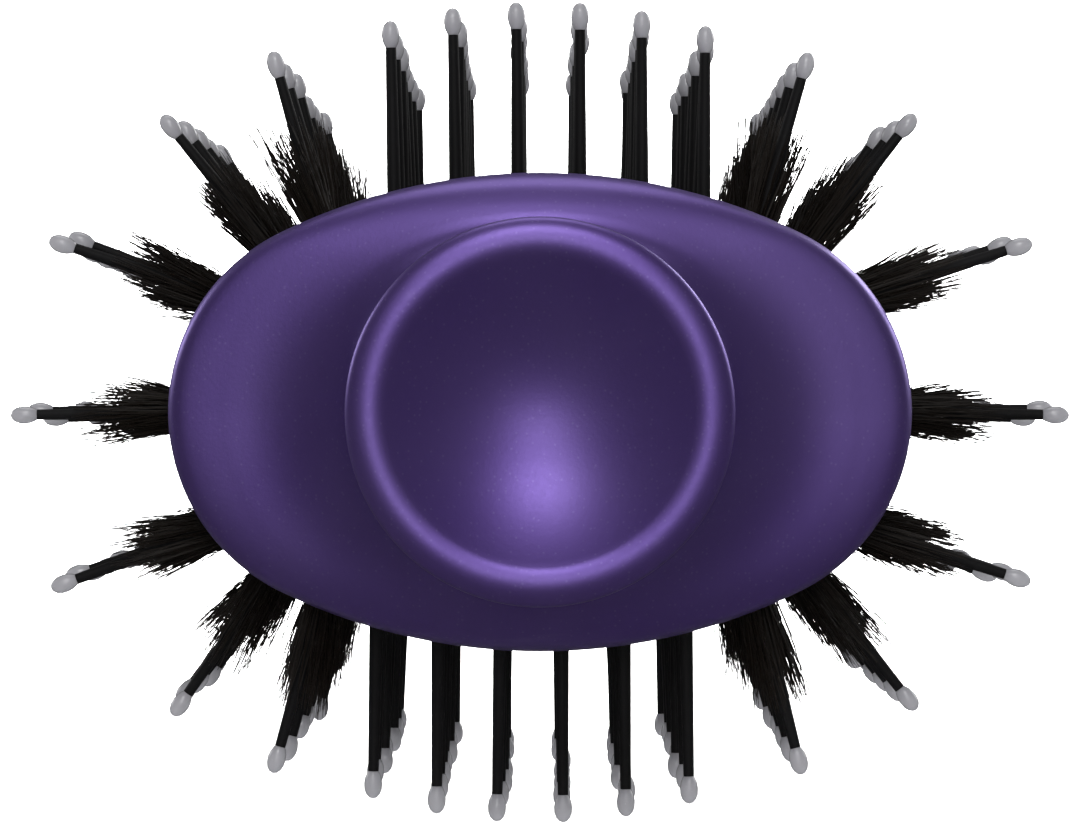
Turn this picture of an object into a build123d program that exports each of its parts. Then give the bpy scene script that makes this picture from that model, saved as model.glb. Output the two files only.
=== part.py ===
from build123d import *
import os
from math import acos, asin, cos, degrees, radians, sin, sqrt, tan

# Oval hot-air brush: an oval brush head with a finger knob at its tip, held on a round
# handle that carries the heater, fan, motor, dial and cord swivel.
# The brush lies level. Y runs from the tip to the cord end, X across the oval, Z up.
# Sub-parts are drawn in the brush's own frame, x to the right, y up and z towards the tip,
# with z = 0 at the very tip. A station is a distance back from the tip.

# ---- overall sizes, mm ----
barrel_half_w = 35.5
barrel_half_h = 22.5
end_turn = 64.0            # half angle of each end arc of the oval
barrel_front = 22.0
barrel_length = 108.0
pin_reach = 19.0           # barrel surface to the end of a ball tip
handle_length = 197.0

# ---- walls and clearances ----
barrel_wall = 1.2
shell_wall = 2.2
seat_gap = 0.3             # between a strip and the barrel's inner wall, and between bodies
fit_gap = 0.1              # sliding and locating fits
run_gap = 0.05             # shafts
round_slack = 0.02         # how far a nearly round oval is wider than high

# ---- tip cap ----
cap_rim = 1.0              # how far the cap stands out past the barrel
cap_lap = 2.0              # how far the cap reaches back over the barrel
knob_r = 18.2
knob_rim_r = 2.1
knob_waist_r = 15.5
knob_waist = 8.0
knob_step = 0.1            # the knob's foot stands this far proud of the cap's neck
dish_depth = 5.0
dish_flat = 1.0            # radius of the flat in the middle of the dish
cap_edge = 20.0            # station where the cap reaches its full oval
flare_step = 0.05          # the flare ends this far inside the skirt
cap_flare = [(0.0, 0.0), (0.25, 0.12), (0.46, 0.33), (0.62, 0.6), (0.75, 0.83), (0.88, 0.96), (1.0, 1.0)]

# ---- pins, strips and tufts ----
row_count = 6              # plain pin rows on the top, and on the bottom
row_shift = 0.9            # top rows lie this far right of centre, bottom rows left
row_splay = 0.55           # lean of the plain rows, degrees for each row from the middle
pin_pitch = 14.0
first_pin = 33.0
tuft_rows = [(67.5, 74.0), (57.5, 52.0), (38.0, 19.0), (0.0, 0.0), (-38.0, -19.0), (-57.5, -52.0),
             (-67.5, -74.0)]   # place on the oval and direction of the pins, degrees
pin_base_r = 0.75
pin_end_r = 0.55
ball_r = 1.0
ball_half = 1.55
ball_marks = [-20.0, 20.0, 55.0]   # where the tip's outline is divided, degrees from its widest
bar_spacing = 2.0          # row pitch less bar width
bar_thick = 1.6
boss_r = 2.1
boss_rise = 0.7
tuft_height = 11.5
tuft_base_r = 2.0
tuft_end_r = 2.9

# ---- rings that hold the strips ----
ring_depth = 6.0
ring_land = 7.0            # width of the rear ring, and of the cap's inner wall
pocket_depth = 4.0
cap_screw_x = 22.0
screw_r = 1.4

# ---- collar and neck ----
collar_lap = 3.0
collar_length = 25.0
neck_r = 27.0
spigot_r = 21.5
spigot_wall = 2.0
spigot_reach = 18.0
key_half = 1.5
key_height = 1.1

# ---- air vents in the barrel ----
vent_w = 2.0
vent_l = 7.0

# ---- heater ----
shield_r = 17.8
shield_wall = 0.6
coil_r = 15.5
wire_r = 0.5
coil_pitch = 4.0
coil_turns = 7
mica = 0.8

# ---- fan and motor ----
motor_r = 13.5
motor_length = 27.0
shaft_r = 1.0
fan_hub_r = 5.5
fan_length = 8.0
blade_count = 9
shroud_r = 19.0
shroud_wall = 0.8

# ---- handle screws, upright, heads below ----
shell_screw_r = 1.0
screw_seat = -6.0          # height of the heads' seat from the brush's axis
pilot_depth = 5.5
low_boss_r = 3.0
high_boss_r = 2.4

# ---- handle outline: share of the handle's shell length, radius ----
shell_outline = [(0.0, 27.0), (0.14, 25.9), (0.32, 23.6), (0.52, 21.4), (0.74, 19.5), (0.92, 19.9), (1.0, 20.6)]

# ---- dial, tail and cord swivel ----
sleeve_r = 16.8
sleeve_wall = 1.5
dial_r = 22.4
dial_width = 12.7
flute_count = 28
tail_r = 23.0
tail_length = 18.7
slot_count = 24
cap_dome = 6.0
swivel_r = 6.0
gland_length = 9.7
cord_bore_r = 3.6
button_half_w = 6.0
button_length = 10.0
button_travel = 1.4

# ---- stations that follow from these ----
barrel_end = barrel_front + barrel_length
collar_start = barrel_end - collar_lap
collar_end = collar_start + collar_length
handle_start = collar_end + 0.4
dial_start = handle_start + handle_length - 31.4
shell_end = dial_start - seat_gap
shell_length = shell_end - handle_start
tail_start = dial_start + dial_width + seat_gap
tail_end = tail_start + tail_length
dome_end = tail_end + cap_dome
gland_start = dome_end + seat_gap
total_length = gland_start + gland_length
axis_height = barrel_half_h + pin_reach
bar_front = barrel_front + 4.3
bar_back = barrel_end - 3.3
brush_frame = Plane(origin=(0, -total_length / 2, axis_height), x_dir=(1, 0, 0), z_dir=(0, -1, 0))


# ---- shapes used everywhere ----
def oval_centres(half_w, half_h):
    t = radians(end_turn)
    end_x = (half_w - half_h) / (1 + tan(t) - 1 / cos(t))
    return end_x, end_x * tan(t)


def oval(half_w, half_h):
    end_x, side_y = oval_centres(half_w, half_h)
    end_r = half_w - end_x
    side_r = half_h + side_y
    side_turn = 180 - 2 * end_turn
    return make_face([
        CenterArc((end_x, 0), end_r, -end_turn, 2 * end_turn),
        CenterArc((0, -side_y), side_r, end_turn, side_turn),
        CenterArc((-end_x, 0), end_r, 180 - end_turn, 2 * end_turn),
        CenterArc((0, side_y), side_r, 180 + end_turn, side_turn),
    ])


def oval_point(half_w, half_h, angle):
    """Point of the oval where its outward normal stands at angle, for angles from -90 to 90."""
    end_x, side_y = oval_centres(half_w, half_h)
    a = radians(angle)
    if abs(angle) <= end_turn:
        end_r = half_w - end_x
        return end_x + end_r * cos(a), end_r * sin(a)
    side_r = half_h + side_y
    up = 1 if angle > 0 else -1
    return side_r * cos(a), side_r * sin(a) - up * side_y


def slab(sketch, start, end):
    return extrude(Plane.XY.offset(-end) * sketch, amount=end - start)


def tube(start, end, outer, inner=0.0):
    ring = Circle(outer)
    if inner > 0:
        ring -= Circle(inner)
    return slab(ring, start, end)


def block(x0, x1, y0, y1, start, end):
    return Pos((x0 + x1) / 2, (y0 + y1) / 2, -(start + end) / 2) * Box(x1 - x0, y1 - y0, end - start)


def turned(edges):
    """Solid of revolution from a closed outline of (radius, minus station) points."""
    return revolve(Plane.XZ * make_face(edges), Axis.Z, 360)


def turned_poly(points):
    flipped = [(r, -s) for r, s in points]
    return turned(Polyline(*flipped, close=True))


def post(x, y0, y1, station, radius):
    """Upright cylinder from y0 to y1."""
    return Pos(x, (y0 + y1) / 2, -station) * Rot(90, 0, 0) * Cylinder(radius, y1 - y0)


def gather(solids):
    flat = []
    for item in solids:
        flat.extend(item.solids())
    return Compound(children=flat)


# ---- brush head ----
def make_tip_cap():
    half_w = barrel_half_w + cap_rim
    half_h = barrel_half_h + cap_rim
    sections = []
    for depth, spread in cap_flare:
        station = knob_waist + (cap_edge - knob_waist) * depth
        w = knob_waist_r + (half_w - flare_step - knob_waist_r) * spread + round_slack * (1 - spread)
        h = knob_waist_r + (half_h - flare_step - knob_waist_r) * spread
        sections.append(Plane.XY.offset(-station) * oval(w, h))
    body = loft(sections) + slab(oval(half_w, half_h), cap_edge, barrel_front + cap_lap)
    rim_c = knob_r - knob_rim_r

    def rim_point(angle):
        return rim_c + knob_rim_r * cos(radians(angle)), -knob_rim_r + knob_rim_r * sin(radians(angle))

    inner = rim_point(140)
    outer = rim_point(-50)
    floor = Line((0, -dish_depth), (dish_flat, -dish_depth))
    dish = Spline(floor @ 1, (inner[0] * 0.45, -dish_depth * 0.9), (inner[0] * 0.8, -dish_depth * 0.6),
                  inner, tangents=((1, 0), (sin(radians(140)), -cos(radians(140)))))
    rim = ThreePointArc(inner, rim_point(45), outer)
    waist = (knob_waist_r + knob_step, -knob_waist)
    under = Spline(outer, waist, tangents=((-sin(radians(50)), -cos(radians(50))), (0, -1)))
    foot = Polyline(waist, (knob_waist_r - 1.5, -knob_waist), (knob_waist_r - 1.5, -knob_waist - 1),
                    (0, -knob_waist - 1), (0, -dish_depth))
    body += turned([floor, dish, rim, under, foot])
    body -= tube(dish_depth + 3.5, cap_edge, knob_waist_r - 3.5)
    lap_inner = oval(barrel_half_w - barrel_wall - fit_gap, barrel_half_h - barrel_wall - fit_gap)
    lap_outer = oval(barrel_half_w + fit_gap, barrel_half_h + fit_gap)
    body -= slab(lap_outer - lap_inner, barrel_front - seat_gap, barrel_front + cap_lap)
    hollow = oval(barrel_half_w - ring_land, barrel_half_h - ring_land)
    body -= slab(hollow, cap_edge - 2, barrel_front + cap_lap)
    for side in (-1, 1):
        body += Pos(side * cap_screw_x, 0, 0) * tube(cap_edge - 2, barrel_front + cap_lap, 3.2)
    for side in (-1, 1):
        body -= Pos(side * cap_screw_x, 0, 0) * tube(cap_edge - 2, barrel_front + cap_lap, screw_r + fit_gap)
    return body


def strip_plan():
    """Name, base point, pin direction in degrees, surface angle and first pin of every strip."""
    side_r = barrel_half_h + oval_centres(barrel_half_w, barrel_half_h)[1]
    first_x = oval_point(barrel_half_w, barrel_half_h, tuft_rows[0][0])[0]
    pitch = 2 * first_x / (row_count + 1)
    plan = []
    for up, side_name in ((1, "top"), (-1, "bottom")):
        for i in range(row_count):
            x = (i - (row_count - 1) / 2) * pitch + up * row_shift
            normal = degrees(acos(x / side_r))
            lean = 90 - (i - (row_count - 1) / 2) * row_splay
            y = side_r * sin(radians(normal)) - (side_r - barrel_half_h)
            plan.append((f"pin_strip_{side_name}_{i + 1}", (x, up * y), up * lean, up * normal, 0, pitch))
    for side, side_name in ((1, "right"), (-1, "left")):
        for i, (place, direction) in enumerate(tuft_rows):
            x, y = oval_point(barrel_half_w, barrel_half_h, place)
            angle = direction if side > 0 else 180 - direction
            normal = place if side > 0 else 180 - place
            name = f"bristle_strip_{side_name}_{i + 1}"
            plan.append((name, (side * x, y), angle, normal, 1 + i % 2, pitch))
    return plan


def along(base, angle, height, station):
    """Frame that stands on the barrel's surface, its z axis along a pin."""
    a = radians(angle)
    origin = (base[0] + height * cos(a), base[1] + height * sin(a), -station)
    return Plane(origin=origin, x_dir=(0, 0, 1), z_dir=(cos(a), sin(a), 0))


def rise(shape, base, angle, height, station):
    return along(base, angle, height, station) * shape


def pin_stations(kind):
    """Plain rows and odd tuft rows have pins on the full pitch, even ones half a pitch on."""
    count = int((bar_back - 8 - first_pin) / pin_pitch) + 1
    if kind == 2:
        return [first_pin + pin_pitch * (k + 0.5) for k in range(count - 1)]
    return [first_pin + pin_pitch * k for k in range(count)]


def bar_depth(angle, normal, width):
    lean = radians(abs(angle - normal))
    sag = width * width / 8 / (barrel_half_h - barrel_wall) * 1.5
    return (barrel_wall + seat_gap) / cos(lean) + width / 2 * tan(lean) + sag


def ball_profile():
    """Outline of a ball tip from the pin's end to the crown, and the height of that end."""
    neck_y = -ball_half * sqrt(1 - (pin_end_r / ball_r) ** 2)
    marks = [degrees(asin(neck_y / ball_half))] + ball_marks + [90.0]
    arcs = []
    for start, end in zip(marks, marks[1:]):
        arcs.append(EllipticalCenterArc((0, 0), ball_r, ball_half, start, arc_size=end - start))
    return arcs, neck_y


ball_arcs, ball_neck = ball_profile()
pin_top = pin_reach - ball_half + ball_neck
ball_edges = ball_arcs + [Polyline(ball_arcs[-1] @ 1, (0, ball_neck), ball_arcs[0] @ 0)]
ball = revolve(Plane.XZ * make_face(ball_edges), Axis.Z, 360)


def make_strip(base, angle, normal, kind, pitch, grow=0.0):
    """The bar of one strip, with its bosses, and the pins that stand on it."""
    width = pitch - bar_spacing
    depth = bar_depth(angle, normal, width)
    length = bar_back - bar_front
    frame = along(base, angle, -depth, (bar_front + bar_back) / 2)
    bar = frame * (Pos(0, 0, -bar_thick / 2) * Box(length + 2 * grow, width + 2 * grow, bar_thick + 2 * grow))
    if grow > 0:
        return bar, []
    foot = -depth
    if kind > 0:
        foot = boss_rise
        boss = Cylinder(boss_r, depth + boss_rise + 0.5, align=(Align.CENTER, Align.CENTER, Align.MIN))
        for station in pin_stations(kind):
            bar += rise(boss, base, angle, -depth - 0.5, station)
    shank = Cone(pin_base_r, pin_end_r, pin_top - foot, align=(Align.CENTER, Align.CENTER, Align.MIN))
    pins = [rise(shank, base, angle, foot, station) for station in pin_stations(kind)]
    return bar, pins


def make_balls(plan):
    spots = [(base, angle, station) for _, base, angle, _, kind, _ in plan for station in pin_stations(kind)]
    return gather([rise(ball, base, angle, pin_reach - ball_half, station) for base, angle, station in spots])


def make_tufts(plan):
    """Each bundle of bristles is one hollow cone that stands on a boss, clear of its pin."""
    height = tuft_height - boss_rise
    bundle = Cone(tuft_base_r, tuft_end_r, height, align=(Align.CENTER, Align.CENTER, Align.MIN))
    bundle -= Cylinder(pin_base_r + seat_gap, height, align=(Align.CENTER, Align.CENTER, Align.MIN))
    tufts = []
    for _, base, angle, _, kind, _ in plan:
        tufts += [rise(bundle, base, angle, boss_rise, station) for station in pin_stations(kind)]
    return gather(tufts)


def make_barrel(plan):
    inner = oval(barrel_half_w - barrel_wall, barrel_half_h - barrel_wall)
    shell = slab(oval(barrel_half_w, barrel_half_h) - inner, barrel_front, barrel_end)
    cutters = []
    for _, base, angle, _, kind, _ in plan:
        radius = (boss_r if kind else pin_base_r) + seat_gap
        drill = Cylinder(radius, 9.0)
        cutters += [rise(drill, base, angle, 0, station) for station in pin_stations(kind)]
    pitch = plan[0][5]
    slot = extrude(SlotOverall(vent_l, vent_w), 9.0, both=True)
    for up in (1, -1):
        for i in range(row_count - 1):
            x = (i - (row_count - 2) / 2) * pitch + up * row_shift
            for k, station in enumerate(pin_stations(2)):
                shift = pin_pitch / 4 * (1 if i % 2 else -1)
                cutters.append(rise(slot, (x, up * barrel_half_h), up * 90, 0, station + shift))
    for side in (1, -1):
        for place in (19.0, -19.0):
            x, y = oval_point(barrel_half_w, barrel_half_h, place)
            angle = place if side > 0 else 180 - place
            cutters += [rise(slot, (side * x, y), angle, 0, station) for station in pin_stations(1)]
    return shell - cutters


def make_ring(plan, start, end, hole):
    """Oval ring inside the barrel, with a pocket for the end of every strip."""
    outline = oval(barrel_half_w - barrel_wall - fit_gap, barrel_half_h - barrel_wall - fit_gap)
    if hole:
        outline -= oval(barrel_half_w - ring_land, barrel_half_h - ring_land)
    ring = slab(outline, start, end)
    pockets = [make_strip(base, angle, normal, kind, pitch, fit_gap)[0]
               for _, base, angle, normal, kind, pitch in plan]
    return ring - pockets


def make_front_ring(plan):
    start = barrel_front + cap_lap
    ring = make_ring(plan, start, start + ring_depth, False)
    for side in (-1, 1):
        ring -= Pos(side * cap_screw_x, 0, 0) * tube(start, start + ring_depth, screw_r + fit_gap)
    return ring


def make_screw(length, radius):
    """Pan-head screw along z, its head at z below 0 and its shank above."""
    head_height = 1.4 * radius
    body = Cylinder(radius, length, align=(Align.CENTER, Align.CENTER, Align.MIN))
    head = Cylinder(2 * radius, head_height, align=(Align.CENTER, Align.CENTER, Align.MAX))
    head = fillet(head.edges().group_by(Axis.Z)[0], 0.4 * radius)
    cross = Box(2 * radius, 0.4 * radius, head_height) + Box(0.4 * radius, 2 * radius, head_height)
    return body + head - Pos(0, 0, -head_height) * cross


def make_cap_screws():
    base = barrel_front + cap_lap + ring_depth
    screw = make_screw(ring_depth + 3.0, screw_r)
    return gather([Pos(side * cap_screw_x, 0, -base) * screw for side in (-1, 1)])


def make_collar():
    half_w = barrel_half_w + cap_rim
    half_h = barrel_half_h + cap_rim
    straight = collar_start + 4.0
    sections = []
    for i in range(6):
        t = i / 5
        blend = t * t * (3 - 2 * t)
        w = half_w + (neck_r + round_slack - half_w) * blend
        h = half_h + (neck_r - half_h) * blend
        sections.append(Plane.XY.offset(-(straight + (collar_end - straight) * t)) * oval(w, h))
    body = loft(sections) + slab(oval(half_w, half_h), collar_start, straight)
    body -= slab(oval(barrel_half_w + fit_gap, barrel_half_h + fit_gap), collar_start, barrel_end)
    spigot_front = collar_end - spigot_reach
    body -= tube(barrel_end, spigot_front, spigot_r - 2.5)
    body -= tube(spigot_front - 0.2, collar_end, spigot_r + fit_gap)
    body -= block(-key_half - seat_gap, key_half + seat_gap, -spigot_r - key_height - seat_gap, -spigot_r + 1,
                  spigot_front - 0.2, collar_end)
    body -= block(-3.4, 3.4, spigot_r - 1, spigot_r + 1.8, latch_tooth - 0.5, latch_tooth + 3.5)
    return body


# ---- handle ----
latch_tooth = collar_end - 9.5
button_mid = handle_start + 12.6
lip_r = spigot_r + seat_gap
flange_start = handle_start + 3.0
flange_end = flange_start + 2.7


def shell_solid(inset, start, end):
    """Solid of the handle's outline moved in by inset, between two stations."""
    points = [(r - inset, -(handle_start + share * shell_length)) for share, r in shell_outline]
    curve = Spline(*points)
    rim = Polyline(points[-1], (0, points[-1][1]), (0, points[0][1]), points[0])
    whole = turned([curve, rim])
    if start <= handle_start and end >= shell_end:
        return whole
    return whole & tube(start, end, neck_r + 5)


def shell_radius(station):
    """Outer radius of the handle near a station, by straight runs between outline points."""
    share = (station - handle_start) / shell_length
    for (s0, r0), (s1, r1) in zip(shell_outline, shell_outline[1:]):
        if share <= s1:
            return r0 + (r1 - r0) * (share - s0) / (s1 - s0)
    return shell_outline[-1][1]


motor_start = handle_start + 52.6
motor_end = motor_start + motor_length
fan_start = motor_start - 4 - fan_length
shroud_start = fan_start - 3
board_start = motor_end + 30
sleeve_start = shell_end - 20
sleeve_end = tail_end - 5
lug_start = dial_start + 3
boss_places = [(shield_r + seat_gap + low_boss_r, handle_start + 28.6), (11.5, motor_end + 17)]


def make_shell_blank():
    outer = shell_solid(0, 0, 999)
    hollow = shell_solid(shell_wall, flange_start, shell_end - 3)
    blank = outer - hollow - tube(handle_start, flange_start + 0.1, lip_r)
    blank -= tube(shell_end - 3.1, shell_end, sleeve_r + fit_gap)
    seam = (outer - shell_solid(0.4, 0, 999)) & block(-50, 50, -0.2, 0.2, handle_start, shell_end)
    return blank - seam, outer


def make_shell_upper(blank, outer):
    half = blank & block(-60, 60, 0, 60, handle_start - 1, shell_end + 1)
    for x, station in boss_places:
        for side in (-1, 1):
            half += post(side * x, 0, neck_r, station, high_boss_r) & outer
            half -= post(side * x, -1, pilot_depth, station, shell_screw_r + run_gap)
    half -= block(-button_half_w - seat_gap, button_half_w + seat_gap, 15, 40,
                  button_mid - button_length / 2 - seat_gap, button_mid + button_length / 2 + seat_gap)
    latch_post = block(-3, 3, leaf_top, shell_radius(leaf_end - 2) - 0.5 * shell_wall, leaf_end - 4, leaf_end)
    return half + (latch_post & outer)


def make_shell_lower(blank, outer):
    half = blank & block(-60, 60, -60, 0, handle_start - 1, shell_end + 1)
    for x, station in boss_places:
        for side in (-1, 1):
            half += post(side * x, -neck_r, screw_seat + 1, station, low_boss_r) & outer
            half += post(side * x, screw_seat, 0, station, high_boss_r)
    for x, station in boss_places:
        for side in (-1, 1):
            half -= post(side * x, -neck_r - 2, screw_seat, station, 2 * shell_screw_r + fit_gap)
            half -= post(side * x, -neck_r - 2, 1, station, shell_screw_r + fit_gap)
    for side in (-1, 1):
        rail = block(side * 11.0 - 1, side * 11.0 + 1, -25, -6.8, board_start + 2, board_start + 32)
        half += rail & outer
    return half


def make_handle_screws():
    screws = []
    length = pilot_depth - screw_seat - 1
    for x, station in boss_places:
        for side in (-1, 1):
            place = Pos(side * x, screw_seat, -station) * Rot(-90, 0, 0)
            screws.append(place * make_screw(length, shell_screw_r))
    return gather(screws)


def make_neck_ring():
    front = collar_end - spigot_reach
    body = tube(front, flange_end, spigot_r, spigot_r - spigot_wall)
    flange_r = shell_radius(flange_end) - shell_wall - 0.5
    body += tube(flange_start + seat_gap, flange_end, flange_r, spigot_r - 1)
    body += tube(front, front + 4, spigot_r - 0.5, shield_r + fit_gap)
    body += block(-key_half, key_half, -spigot_r - key_height, -spigot_r + 1, front + 2, collar_end)
    body -= block(-3.4, 3.4, spigot_r - 3.0, spigot_r + 2, latch_tooth - 1, latch_tooth + 5)
    return body


leaf_top = spigot_r - spigot_wall - 0.4
leaf_thick = 0.6
leaf_end = handle_start + 25.6


def make_latch_clip():
    leaf = block(-3, 3, leaf_top - leaf_thick, leaf_top, latch_tooth - 0.4, leaf_end)
    tooth = Plane.YZ * make_face(Polyline(
        (leaf_top - 0.3, -latch_tooth), (spigot_r + 1.2, -latch_tooth - 0.6), (spigot_r + 1.2, -latch_tooth - 2.2),
        (leaf_top - 0.3, -latch_tooth - 3.0), close=True))
    return leaf + extrude(tooth, 3, both=True)


def make_button():
    half = button_length / 2
    top = shell_radius(button_mid) + 1.0
    cap = block(-button_half_w, button_half_w, spigot_r + 0.5, top, button_mid - half, button_mid + half)
    cap = fillet(cap.edges().filter_by(Axis.Y), 1.6)
    cap = fillet(cap.faces().sort_by(Axis.Y)[-1].edges(), 0.8)
    for k in (-1, 0, 1):
        cap -= Pos(0, top, -button_mid + 2.2 * k) * Rot(0, 90, 0) * Cylinder(0.45, 7)
    flange = block(-7.0, 7.0, spigot_r - 0.3, spigot_r + 0.8, button_mid - half - 1.2, button_mid + half + 1.2)
    stem = block(-2.5, 2.5, leaf_top + seat_gap, spigot_r, button_mid - 2, button_mid + 2)
    return cap + flange + stem


def make_heat_shield():
    return tube(collar_end - spigot_reach + 1, shroud_start + 1, shield_r, shield_r - shield_wall)


heater_start = collar_end - 2
heater_end = shroud_start - 2


def make_heater_frame():
    end_half = shield_r - shield_wall - 0.2
    mid_half = coil_r - wire_r - seat_gap
    frame = []
    for turn in (0, 90):
        plate = block(-mid_half, mid_half, -mica / 2, mica / 2, heater_start, heater_end)
        plate += block(-end_half, end_half, -mica / 2, mica / 2, heater_start, heater_start + 3)
        plate += block(-end_half, end_half, -mica / 2, mica / 2, heater_end - 3, heater_end)
        frame.append(Rot(0, 0, turn) * plate)
    return frame[0] + frame[1]


def make_heater_coil():
    height = coil_pitch * coil_turns
    path = Helix(coil_pitch, height, coil_r)
    start = Plane(path @ 0, z_dir=path % 0)
    wire = sweep(start * Circle(wire_r), path=path)
    middle = (heater_start + heater_end) / 2
    return Pos(0, 0, -middle - height / 2) * wire


def make_thermal_cutout():
    body = block(mica / 2, mica / 2 + 4, 3, 11, heater_start + 8, heater_start + 18)
    return fillet(body.edges().filter_by(Axis.Z), 0.8)


def make_motor_mount():
    body = tube(shroud_start, motor_end + 1, shroud_r, shroud_r - shroud_wall)
    flange_r = shell_radius(shroud_start + 3) - shell_wall - 0.5
    body += tube(shroud_start, shroud_start + 2.5, flange_r, shroud_r - 0.4)
    body += tube(motor_start + 4, motor_end - 2, motor_r + 1.0, motor_r + fit_gap)
    for k in range(6):
        vane = block(motor_r + 0.6, shroud_r - 0.4, -0.6, 0.6, motor_start + 4, motor_end - 2)
        body += Rot(0, 0, 60 * k + 30) * vane
    return body


def make_motor():
    can = tube(motor_start, motor_end, motor_r)
    can = fillet(can.edges(), 1.2)
    can += tube(motor_start - 2, motor_end + 3, 4.0)
    return can - tube(motor_start - 3, motor_end + 4, shaft_r + run_gap)


def make_shaft():
    return tube(fan_start - 1, motor_end + 4, shaft_r)


def make_fan():
    hub = fillet(tube(fan_start, fan_start + fan_length, fan_hub_r).edges().group_by(Axis.Z)[-1], 2.0)
    reach = shroud_r - shroud_wall - 0.6
    for k in range(blade_count):
        blade = Pos((fan_hub_r + reach) / 2 - 0.5, 0, -fan_start - fan_length / 2)
        blade = blade * Rot(38, 0, 0) * Box(reach - fan_hub_r + 1, 0.9, fan_length * 0.95)
        hub += Rot(0, 0, 360 / blade_count * k) * blade
    hub &= tube(fan_start, fan_start + fan_length, reach)
    return hub - tube(fan_start - 1, fan_start + fan_length + 1, shaft_r)


def make_switch_board():
    board = block(-12, 12, -6.8, -5.2, board_start, board_start + 34)
    board += block(-6.5, 6.5, -6.8, -5.2, board_start + 34, lug_start + 6)
    board += block(-9, -1, -5.3, 3, board_start + 4, board_start + 18)
    board += block(2, 10, -5.3, -1, board_start + 6, board_start + 28)
    board += block(-5, 5, -5.3, 1, lug_start - 5, lug_start + 6)
    return board


def lug_window(extra, start, end):
    """Quarter-turn window for the dial's lug, from upright to the right."""
    reach = 40.0
    a0 = radians(-extra)
    a1 = radians(90 + extra)
    far = (reach * 2 * cos(radians(45)), reach * 2 * sin(radians(45)))
    wedge = make_face(Polyline((0, 0), (reach * cos(a0), reach * sin(a0)), far,
                               (reach * cos(a1), reach * sin(a1)), close=True))
    return slab(wedge, start, end)


def make_tail_sleeve():
    body = tube(sleeve_start, sleeve_end, sleeve_r, sleeve_r - sleeve_wall)
    body += tube(sleeve_start, sleeve_start + 2.5, shell_outline[-2][1] - shell_wall - 0.5, sleeve_r - 1)
    return body - lug_window(12, lug_start - 0.7, lug_start + 5.7)


def make_dial():
    end = dial_start + dial_width
    ring = tube(dial_start, end, dial_r, sleeve_r + 0.07)
    ring = chamfer(ring.edges().filter_by(GeomType.CIRCLE).sort_by(SortBy.RADIUS)[-2:], 0.8)
    flute = Pos(dial_r + 0.55, 0, -(dial_start + end) / 2) * Cylinder(1.1, dial_width - 5)
    ring -= [Rot(0, 0, 360 / flute_count * (k + 0.5)) * flute for k in range(flute_count)]
    ring += block(-0.5, 0.5, dial_r - 1, dial_r + 0.5, dial_start + 2.2, end - 2.2)
    return ring + block(-2, 2, sleeve_r - 3.2, sleeve_r + 1.2, lug_start, lug_start + 5)


def make_grille():
    wall = 1.8
    mid = tail_start + tail_length / 2
    curve = ThreePointArc((tail_r - 0.3, -tail_start), (tail_r + 0.6, -mid), (tail_r - 0.3, -tail_end))
    inner = ThreePointArc((tail_r - 0.3 - wall, -tail_end), (tail_r + 0.6 - wall, -mid),
                          (tail_r - 0.3 - wall, -tail_start - wall))
    body = turned([curve, Line(curve @ 1, inner @ 0), inner, Polyline(
        inner @ 1, (sleeve_r + fit_gap, -tail_start - wall), (sleeve_r + fit_gap, -tail_start), curve @ 0)])
    slot = block(tail_r - 4, tail_r + 3, -1.0, 1.0, tail_start + 3.6, tail_end - 3.4)
    return body - [Rot(0, 0, 360 / slot_count * k) * slot for k in range(slot_count)]


def make_filter():
    return tube(tail_start + 2.1, tail_end - 2.8, tail_r - 2.6, tail_r - 3.2)


def make_end_cap():
    plug_r = tail_r - 0.3 - 1.8 - fit_gap
    hub = swivel_r + run_gap
    crown = (tail_r - 3.4, -tail_end - cap_dome * 0.72)
    dome = ThreePointArc((tail_r - 0.3, -tail_end), crown, (10.0, -dome_end))
    rest = Polyline((10.0, -dome_end), (hub, -dome_end), (hub, -tail_end + 4), (hub + 3, -tail_end + 4),
                    (hub + 3, -tail_end - 2.2), (plug_r - 2, -tail_end - 1.4), (plug_r - 2, -tail_end + 2.5),
                    (plug_r, -tail_end + 2.5), (plug_r, -tail_end), (tail_r - 0.3, -tail_end))
    return turned([dome, rest])


def make_swivel():
    inner = tail_end - 4 - seat_gap
    profile = [(cord_bore_r, inner - 2.2), (8.0, inner - 2.2), (8.0, inner), (swivel_r, inner),
               (swivel_r, gland_start), (8.2, gland_start), (8.2, gland_start + 2.2),
               (5.6, total_length), (cord_bore_r, total_length)]
    return turned_poly(profile)


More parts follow.
